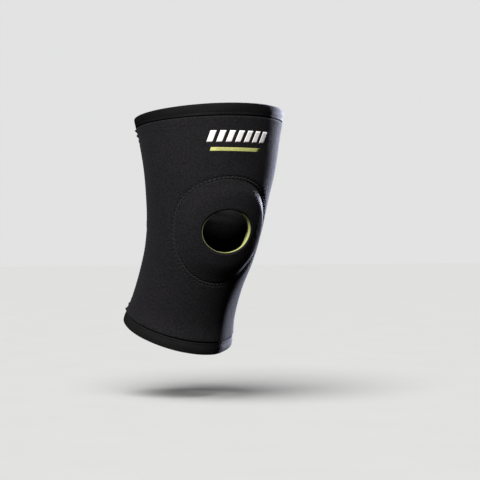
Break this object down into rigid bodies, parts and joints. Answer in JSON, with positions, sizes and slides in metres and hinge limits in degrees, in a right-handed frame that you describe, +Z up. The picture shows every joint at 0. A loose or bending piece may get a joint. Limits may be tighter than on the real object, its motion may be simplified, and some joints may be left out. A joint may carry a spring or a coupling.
{
  "type": "knee brace",
  "caption": "Pull-on neoprene knee brace in its worn form: a bent open tube with taped edges and a kneecap hole ringed by a soft pad.",
  "frame": {"origin": "middle of the leg on the slanted section through the middle of the kneecap hole", "axes": "+Z up along the leg towards the thigh, -Y to the front where the kneecap hole is, +X to the inner side of a right leg"},
  "size_m": [0.1638, 0.193, 0.27],
  "materials": {
    "knitted_neoprene": "matt fine nylon knit over foam rubber",
    "lime_pad": "matt lime foam",
    "stretch_tape": "smooth stretch tape"
  },
  "bodies": {
    "root": {"sleeve": "knitted_neoprene", "kneecap_pad": "lime_pad", "thigh_binding": "stretch_tape", "calf_binding": "stretch_tape"}
  },
  "joints": []
}
